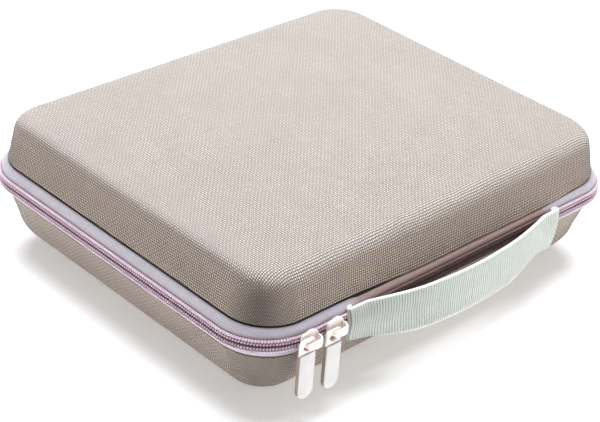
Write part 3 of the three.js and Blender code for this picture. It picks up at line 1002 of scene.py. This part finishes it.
def slabMesh(outer, out0, out1, hole=None):
    # A flat shape in x and z between two distances out. A hole has as many points as the outline.
    count = len(outer)
    loops = []
    for out in (out0, out1):
        loops.append([(x, -out, z) for x, z in outer])
    if hole is None:
        points = loops[0] + loops[1]
        faces = [(i, (i + 1) % count, count + (i + 1) % count, count + i) for i in range(count)]
        faces.append(tuple(range(count)))
        faces.append(tuple(range(2 * count - 1, count - 1, -1)))
        return points, faces
    inner = [[(x, -out, z) for x, z in hole] for out in (out0, out1)]
    points = loops[0] + loops[1] + inner[0] + inner[1]
    faces = []
    for i in range(count):
        j = (i + 1) % count
        faces.append((i, j, count + j, count + i))
        faces.append((2 * count + i, 3 * count + i, 3 * count + j, 2 * count + j))
        faces.append((i, 2 * count + i, 2 * count + j, j))
        faces.append((count + i, count + j, 3 * count + j, 3 * count + i))
    return points, faces


def sliderPlate():
    # The shield on the outside of the coil.
    outline = [
        (-5.1, 3.2), (-4.8, 4.3), (-3.9, 4.9), (0.3, 6.0), (1.7, 6.0), (3.7, 5.0), (4.8, 3.6), (5.1, 1.6),
        (5.0, -1.8), (4.7, -3.4), (3.7, -4.7), (1.6, -5.5), (0.2, -5.5), (-3.6, -4.9), (-4.6, -4.2), (-5.0, -2.8),
    ]
    return slabMesh(outline, slider["plateIn"], slider["plateOut"])


def bridgeMesh():
    # A broad band that rises from one end of the shield and comes down at the other.
    line = bezier((4.9, 6.6), (6.2, 9.6), (4.8, 11.5), (1.6, 11.4), 9)
    falling = bezier((1.6, 11.4), (-2.2, 11.3), (-4.6, 10.6), (-4.3, 6.7), 11)
    line = np.concatenate([[(4.9, 6.6)], line, falling])
    tangent = np.gradient(line, axis=0)
    tangent /= np.linalg.norm(tangent, axis=1)[:, None]
    inward = np.column_stack([-tangent[:, 1], tangent[:, 0]])
    centre = np.array([0.0, 7.0])
    flip = np.sign(((centre - line) * inward).sum(1))
    inward *= flip[:, None]
    share = np.linspace(0, 1, len(line))
    half = np.interp(share, [0, 0.18, 0.5, 0.68, 0.84, 1], [3.2, 2.5, 2.25, 1.7, 1.1, 1.3])
    points, faces = [], []
    section = []
    for a in np.linspace(0, 2 * math.pi, 16, endpoint=False):
        c, s = math.cos(a), math.sin(a)
        section.append((math.copysign(abs(c) ** 0.55, c), math.copysign(abs(s) ** 0.7, s)))
    for (x, out), way, reach in zip(line, inward, half):
        for across, deep in section:
            shift = slider["bridgeThick"] / 2 * (1 - deep)
            px, pOut = x + way[0] * shift, out + way[1] * shift
            points.append((px, -pOut, across * reach))
    count = len(section)
    for s in range(len(line) - 1):
        for i in range(count):
            j = (i + 1) % count
            faces.append((s * count + i, s * count + j, (s + 1) * count + j, (s + 1) * count + i))
    faces.append(tuple(range(count)))
    faces.append(tuple((len(line) - 1) * count + i for i in range(count)))
    return points, faces


def pullPlateMesh():
    count, half, top, bottom, radius = 64, 4.5, 3.9, -4.6, 1.9
    outer, hole = [], []
    for i in range(count):
        angle = 2 * math.pi * i / count
        c, s = math.cos(angle), math.sin(angle)
        limit = top if s > 0 else -bottom
        reach = min(half / max(abs(c), 1e-6), limit / max(abs(s), 1e-6))
        x, z = reach * c, reach * s
        if z > top - radius and abs(x) > half - radius:
            cx, cz = math.copysign(half - radius, x), top - radius
            # Where the ray meets the rounded corner.
            b = c * cx + s * cz
            root = max(b * b - (cx * cx + cz * cz - radius * radius), 0)
            reach = min(reach, b + math.sqrt(root))
            x, z = reach * c, reach * s
        outer.append((x, z))
        hole.append((slider["eye"] * c, slider["eye"] * 0.95 * s))
    return slabMesh(outer, *slider["plate"], hole)


def gripMesh():
    half, end = slider["gripHalf"], -slider["length"]
    outline = [(half, -slider["neck"]), (-half, -slider["neck"])]
    centre = end + half
    for i in range(17):
        angle = math.pi + math.pi * i / 16
        outline.append((half * math.cos(angle), centre + half * math.sin(angle)))
    return slabMesh(outline, *slider["grip"])


def makeSliders():
    for name, place in sliderFrames().items():
        body = f"slider_{name}"
        piece = roundedPiece(f"{body}_shield", *sliderPlate(), "enamel", place, 0.42)
        finishPiece(piece, "slider_paint", f"{body}_body", body=body)
        flange = [(-3.4, 5.6), (3.4, 5.6), (3.4, 3.7), (-3.4, 3.7)]
        points = [(x, -out, z) for z in (-5.75, -4.7) for x, out in flange]
        faces = [(0, 1, 2, 3), (7, 6, 5, 4), (0, 4, 5, 1), (1, 5, 6, 2), (2, 6, 7, 3), (3, 7, 4, 0)]
        piece = roundedPiece(f"{body}_flange", points, faces, "enamel", place, 0.3)
        finishPiece(piece, "slider_paint", body=body)
        backPlate = [(-3.6, 1.8), (3.6, 1.8), (3.6, 0.7), (-3.6, 0.7)]
        points = [(x, -out, z) for z in (-2.7, 2.7) for x, out in backPlate]
        piece = roundedPiece(f"{body}_back_plate", points, faces, "enamel", place, 0.35)
        finishPiece(piece, "slider_paint", f"{body}_inner_plate", body=body)
        piece = roundedPiece(f"{body}_arch", *bridgeMesh(), "enamel", place, 0, 1)
        finishPiece(piece, "slider_paint", f"{body}_bridge", body=body)
        shiftX, shiftZ = slider["hang"][name]
        hung = place @ Matrix.Translation((
            (slider["axisX"] + shiftX) * mm, 0, (shiftZ - slider["rise"]) * mm,
        ))
        piece = roundedPiece(f"pull_{name}_ring", *pullPlateMesh(), "enamel", hung, 0.28)
        finishPiece(piece, "slider_paint", f"pull_{name}_plate", body=f"pull_{name}")
        piece = roundedPiece(f"pull_{name}_tag", *gripMesh(), "grip", hung, 0.45)
        local = hung.inverted()
        # Depth through the grip, which its material turns into painted shade behind the face.
        depth = [-(local @ v.co).y / mm for v in piece.data.vertices]
        layer = piece.data.attributes.new("layer", "FLOAT", "POINT")
        low, high = slider["grip"]
        layer.data.foreach_set("value", [(d - low) / (high - low) for d in depth])
        finishPiece(piece, "grip_plastic", f"pull_{name}_grip", body=f"pull_{name}")


makeSliders()
print("sliders made")

# Handle. The webbing bows out from the front, and each end is folded back and sewn below the coil.
handle = {
    "halfSpan": {-1: 75.5, 1: 75.0}, "bow": 8.0, "back": -110.4, "thickness": 1.7, "low": 24.0,
    "loop": 2.2, "tail": 12.0, "ribDepth": 0.1, "step": 0.3125, "points": 17,
    "taper": {"height": 13.0, "reach": 7.2, "power": 1.05}, "lift": 2.0,
}


def handleEndLean(z, side):
    # How far the ends lie in towards the base below the coil, and over the lid's rim above it.
    if side < 0:
        return np.interp(z, [24, 28, 33, 37, 41, 45, 49], [7.2, 5.2, 2.6, 0.9, 0.3, 0.8, 2.6])
    return np.interp(z, [24, 28, 33, 37, 41, 45, 49], [3.4, 2.2, 1.0, 0.3, 0.0, 0.2, 0.8])


def makeHandleHalf(name, side, node, extra=()):
    step, half, halfSpan = handle["step"], handle["thickness"] / 2, handle["halfSpan"][side]
    count, width = handle["points"], strapCloth["width"]
    acrossZ = handle["low"] + width * np.linspace(0, 1, count)
    rows = []
    for z in acrossZ:
        if side < 0:
            # The lower part of the left end is drawn in towards the middle.
            low = np.clip((handle["low"] + handle["taper"]["height"] - z) / handle["taper"]["height"], 0, 1)
            halfSpan = handle["halfSpan"][side] - handle["taper"]["reach"] * float(low) ** handle["taper"]["power"]
        lean = float(handleEndLean(z, side))
        if side > 0:
            sewn = float(np.interp(z, [24, 31.5, 35.5, 49], [-105.4, -105.6, -109.1, -109.5]))
        else:
            sewn = -200.0
        leaf = []
        for x in np.arange(0, halfSpan - handle["loop"], 1.5):
            share = x / (halfSpan - 13)
            out = handle["bow"] * max(1 - share * share, 0)
            ease = np.clip((x - 30) / 40, 0, 1)
            ease = ease * ease * (3 - 2 * ease)
            leaf.append((x, handle["back"] - half - out + lean * ease))
        startX, startY = halfSpan - handle["loop"], leaf[-1][1]
        endY = max(sewn, startY + 2.0)
        tail = float(np.interp(z, [24, 35, 43], [handle["tail"], handle["tail"], 4.0])) if side > 0 else 2.2
        for k in range(9):
            angle = -math.pi / 2 + math.pi * k / 8
            middle, reach = (startY + endY) / 2, (endY - startY) / 2
            x = startX + min(handle["loop"], reach) * math.cos(angle)
            leaf.append((x, middle + reach * math.sin(angle)))
        for x in np.arange(startX - 2, startX - tail, -2.0):
            leaf.append((x, endY))
        line = np.array(leaf)
        along = alongOf(line)
        rows.append((line, along, z))
    length = np.mean([along[-1] for _, along, _ in rows])
    stations = int(length / step)
    share = np.linspace(0, 1, stations + 1)
    surface = np.zeros((stations + 1, count, 3))
    for c, (line, along, z) in enumerate(rows):
        at = share * along[-1]
        surface[:, c, 0] = np.interp(at, along, line[:, 0])
        surface[:, c, 1] = np.interp(at, along, line[:, 1])
        surface[:, c, 2] = z
        if side < 0:
            nearEnd = np.clip((surface[:, c, 0] - 45) / 26, 0, 1) ** 2
            surface[:, c, 2] += handle["lift"] * nearEnd * np.clip((36 - z) / 12, 0, 1)
    # Fillets the polyline before ribs are raised on it.
    for _ in range(6):
        surface[1:-1] = (surface[:-2] + 2 * surface[1:-1] + surface[2:]) / 4
    alongU = np.gradient(surface, axis=0)
    acrossV = np.gradient(surface, axis=1)
    normal = np.cross(alongU, acrossV)
    normal /= np.linalg.norm(normal, axis=2)[:, :, None]
    if normal[0, count // 2, 1] > 0:
        normal = -normal
    u = share * length
    rib = np.abs(np.sin(math.pi * u / strapCloth["rib"])) ** 0.7
    ribs = handle["ribDepth"] * rib[:, None]
    v = np.linspace(-0.5, 0.5, count) * width
    edge = np.clip((width / 2 - np.abs(v)) / 0.9, 0, 1) ** 0.5
    thick = (half * (0.45 + 0.55 * edge))[None, :] + ribs * edge[None, :]
    front = surface + normal * thick[:, :, None]
    rear = surface - normal * thick[:, :, None]
    points = np.concatenate([front, rear[:, ::-1]], axis=1)
    points[:, :, 0] *= side
    total = 2 * count
    cutMap = np.stack([
        np.repeat(u[:, None], total, axis=1),
        np.tile(np.concatenate([v, v[::-1]]), (stations + 1, 1)),
    ], axis=2)
    faces = []
    for s in range(stations):
        for i in range(total):
            j = (i + 1) % total
            faces.append((s * total + i, s * total + j, (s + 1) * total + j, (s + 1) * total + i))
    faces.append(tuple(range(total)))
    faces.append(tuple(stations * total + i for i in range(total)))
    piece = makePiece(name, points.reshape(-1, 3), faces, "webbing", cutMap.reshape(-1, 2))
    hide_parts(node, *extra)
    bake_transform(piece)


makeHandleHalf("handle_webbing_left", -1, "handle_end_left", ("handle_strap",))
makeHandleHalf("handle_webbing_right", 1, "handle_end_right")
print("handle made")

# Inside: bindings, insert, pad and the lid's pocket.
inside = {
    "bindingHeight": 3.5, "bindingThickness": 0.9, "insertVoxel": 2.0, "quilt": 26.0, "padRim": 3.0,
}


def makeBinding(half, side):
    skin = case["wall"] + 1.4
    slope = lidWall()[1] if side > 0 else base["draft"] / base["draftDepth"]
    rim = zipper["rim"]

    def face(height):
        return -skin - slope * max(height - rim, 0)

    heights = [rim - 1, rim - 0.4, rim + 0.4, rim + 1.5, rim + 2.6, rim + inside["bindingHeight"]]
    bulge = [0.0, 0.1, 0.22, 0.3, 0.2, 0.0]
    outer = [(face(h), h) for h in heights]
    inner = [(face(h) - inside["bindingThickness"] * 0.7 - b, h) for h, b in zip(heights, bulge)][::-1]
    loop = outer + inner
    profile = [(o, case["parting"] + side * h, h) for o, h in loop]
    piece = sweepPiece(f"{half}_edge_binding", profile, ring, "binding", closed=True)
    if half == "lid":
        easePiece(piece)
    finishPiece(piece, "binding_fabric", f"{half}_binding", body=half)
    height = rim + 2.7
    path = ring(face(height) - 0.92, case["parting"] + side * height)
    path = np.concatenate([path, path[:1]])
    seam = stitchRow(f"{half}_binding_stitches", path, darkStitchTree)
    if half == "lid":
        easePiece(seam)
    finishPiece(seam, "binding_fabric", body=half)


def makeInsert():
    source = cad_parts["foam_insert"]
    piece = bpy.data.objects.new("insert_tray", source.data.copy())
    bpy.context.scene.collection.objects.link(piece)
    shape = bmesh.new()
    shape.from_mesh(piece.data)
    bmesh.ops.remove_doubles(shape, verts=shape.verts, dist=1e-6)
    shape.to_mesh(piece.data)
    shape.free()
    remesh = piece.modifiers.new("cells", "REMESH")
    remesh.mode, remesh.voxel_size = "VOXEL", inside["insertVoxel"] * mm
    relax = piece.modifiers.new("soften", "SMOOTH")
    relax.factor, relax.iterations = 0.5, 6
    applyModifiers(piece)
    piece.data.materials.clear()
    piece.data.materials.append(materials["foam"])
    smoothFaces(piece.data)
    piece.data.polygons.foreach_set("material_index", [0] * len(piece.data.polygons))
    finishPiece(piece, "insert_foam", "foam_insert", body="base")


def quiltFaces(nx, ny):
    # Faces of an upper and a lower grid of points, joined round their rim.
    grid, faces = nx * ny, []
    for j in range(ny - 1):
        for i in range(nx - 1):
            a = j * nx + i
            faces.append((a, a + 1, a + nx + 1, a + nx))
            faces.append((grid + a, grid + a + nx, grid + a + nx + 1, grid + a + 1))
    rim = list(range(nx)) + [j * nx + nx - 1 for j in range(1, ny)]
    rim += [(ny - 1) * nx + i for i in range(nx - 2, -1, -1)] + [j * nx for j in range(ny - 2, 0, -1)]
    for k, a in enumerate(rim):
        b = rim[(k + 1) % len(rim)]
        faces.append((a, grid + a, grid + b, b))
    return faces


def makePad():
    # A thin quilted pad, crowned between its channels and pulled in at the rim.
    low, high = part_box("device_pad")
    size = (high - low) / mm
    centre = (low + high) / 2 / mm
    nx, ny, padRim = 86, 52, inside["padRim"]
    us, vs = np.linspace(-1, 1, nx), np.linspace(-1, 1, ny)
    points, cutMap = [], []
    for level in (1, -1):
        for v in vs:
            for u in us:
                fromEnd, fromSide = (1 - abs(u)) * size.x / 2, (1 - abs(v)) * size.y / 2
                rimFade = math.sqrt(min(1.0, fromEnd / padRim) * min(1.0, fromSide / padRim))
                x, y = centre.x + u * size.x / 2, centre.y + v * size.y / 2
                channel = min(abs(math.sin(math.pi * d / inside["quilt"])) for d in (x - y, x + y))
                puff = 0.55 + 0.45 * min(1, channel * 1.8) ** 0.6
                thick = size.z / 2 * (0.25 + 0.75 * rimFade * (puff if level > 0 else 1))
                points.append((x, y, centre.z + level * thick))
                cutMap.append((x, y))
    piece = makePiece("quilted_pad", points, quiltFaces(nx, ny), "pad", cutMap)
    finishPiece(piece, "lining_fabric", "device_pad", body="base")


def flatSheet(name, low, high, material, sag, ripple=0.0, thickness=0.6):
    # A thin sheet with a slight sag, as one closed body.
    nx, ny = 61, 45
    points, cutMap = [], []
    middle = (low.z + high.z) / 2
    for level in (1, -1):
        for j in range(ny):
            for i in range(nx):
                u, v = i / (nx - 1), j / (ny - 1)
                x, y = low.x + (high.x - low.x) * u, low.y + (high.y - low.y) * v
                drop = sag * 16 * u * (1 - u) * v * (1 - v)
                drop += ripple * math.sin(math.pi * x / 5) * (1 - v) ** 3
                points.append((x, y, middle - drop + level * thickness / 2))
                cutMap.append((x, y))
    return makePiece(name, points, quiltFaces(nx, ny), material, cutMap)


def makeGusset(low, high):
    # Mesh sides that join the pocket's face to the lining, open towards the front.
    radius, thickness, top = 9.0, 0.6, case["top"] - case["wall"] - 1.1
    path, outward = [], []
    for y in np.arange(low.y, high.y - radius, 3.0):
        path.append((high.x, y))
        outward.append((1, 0))
    for i in range(13):
        angle = math.pi / 2 * i / 12
        c, s = math.cos(angle), math.sin(angle)
        outward.append((c, s))
        path.append((high.x - radius * (1 - c), high.y - radius * (1 - s)))
    for x in np.arange(high.x - radius - 3, 1.0, -3.0):
        path.append((x, high.y))
        outward.append((0, 1))
    path += [(-x, y) for x, y in path[::-1]]
    outward += [(-x, y) for x, y in outward[::-1]]
    path, outward = np.array(path), np.array(outward)
    along = alongOf(path)
    points, cutMap, rows = [], [], 9
    for r in range(rows):
        share = r / (rows - 1)
        z = low.z + 0.5 + (top - low.z - 0.5) * share
        belly = -0.6 + 2.2 * math.sin(math.pi * share) + 1.5 * share
        for deep, order in ((0.0, 1), (-thickness, -1)):
            line = path + outward * (belly + deep)
            points += [(x, y, z) for x, y in line[::order]]
            cutMap += [(a, z) for a in along[::order]]
    total = 2 * len(path)
    faces = []
    for r in range(rows - 1):
        for i in range(total):
            j = (i + 1) % total
            faces.append((r * total + i, r * total + j, (r + 1) * total + j, (r + 1) * total + i))
    for start in (0, (rows - 1) * total):
        for i in range(len(path) - 1):
            faces.append((start + i, start + i + 1, start + total - 2 - i, start + total - 1 - i))
    piece = makePiece("lid_pocket_sides", points, faces, "mesh", cutMap)
    finishPiece(piece, "mesh_fabric", body="lid")


def makePocket():
    low, high = (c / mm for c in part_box("mesh_pocket"))
    piece = flatSheet("lid_pocket_net", low, high, "mesh", 0.3, 0.12)
    finishPiece(piece, "mesh_fabric", "mesh_pocket", body="lid")
    makeGusset(low, high)
    bandLow, bandHigh = (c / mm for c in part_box("mesh_pocket_elastic"))
    band = flatSheet("lid_pocket_elastic", bandLow, bandHigh, "binding", 0.0, 0.1, 1.5)
    finishPiece(band, "binding_fabric", "mesh_pocket_elastic", body="lid")


for half, side in (("base", -1), ("lid", 1)):
    makeBinding(half, side)
makeInsert()
makePad()
makePocket()
print("inside made")

# Studio.
studio = {
    "floor": 6.0, "world": 0.14, "glow": 0.34,
    "lights": {
        "keyLight": {"power": 45.0, "size": 1.4, "place": (0.22, 0.3, 1.3), "colour": (0.98, 1.0, 1.06)},
        "rightLight": {"power": 6.0, "size": 0.8, "place": (1.1, -1.2, 0.6), "colour": (1.0, 0.99, 0.97)},
        "leftLight": {"power": 3.0, "size": 0.8, "place": (-1.15, 1.1, 0.75), "colour": (1.0, 0.99, 0.97)},
    },
}


def floorMaterial():
    material, tree, shader = newMaterial("studio floor", 0.9)
    shader.inputs["Specular IOR Level"].default_value = 0.1
    place = objectCoordinates(tree)
    shade = remap(tree, noise(tree, place, 3.0, 2.0), 0.3, 0.7)
    colour = mixColour(tree, shade, rgb(246, 246, 246), rgb(249, 249, 248))
    tree.links.new(colour, shader.inputs["Base Color"])
    shader.inputs["Emission Color"].default_value = (1, 0.995, 0.985, 1)
    shader.inputs["Emission Strength"].default_value = studio["glow"]
    return material


def makeStudio():
    half = studio["floor"] / 2
    mesh = bpy.data.meshes.new("studioFloor")
    corners = [(-half, -half, 0), (half, -half, 0), (half, half, 0), (-half, half, 0)]
    mesh.from_pydata(corners, [], [(0, 1, 2, 3)])
    mesh.materials.append(floorMaterial())
    floor = bpy.data.objects.new("studioFloor", mesh)
    bpy.context.scene.collection.objects.link(floor)
    for name, lamp in studio["lights"].items():
        place = lamp["place"]
        data = bpy.data.lights.new(name, "AREA")
        data.shape, data.size, data.energy = "DISK", lamp["size"], lamp["power"]
        data.color = lamp["colour"]
        light = bpy.data.objects.new(name, data)
        bpy.context.scene.collection.objects.link(light)
        light.location = place
        aim = Vector((0, 0, 0.03)) - Vector(place)
        light.rotation_mode = "QUATERNION"
        light.rotation_quaternion = aim.to_track_quat("-Z", "Y")
    world = bpy.data.worlds.new("studioWorld")
    world.use_nodes = True
    sky = world.node_tree.nodes["Background"]
    sky.inputs["Color"].default_value = (1.0, 0.995, 0.985, 1)
    sky.inputs["Strength"].default_value = studio["world"]
    scene = bpy.context.scene
    scene.world = world
    scene.view_settings.view_transform = "Standard"
    scene.view_settings.look = "None"


makeStudio()
print("studio made")
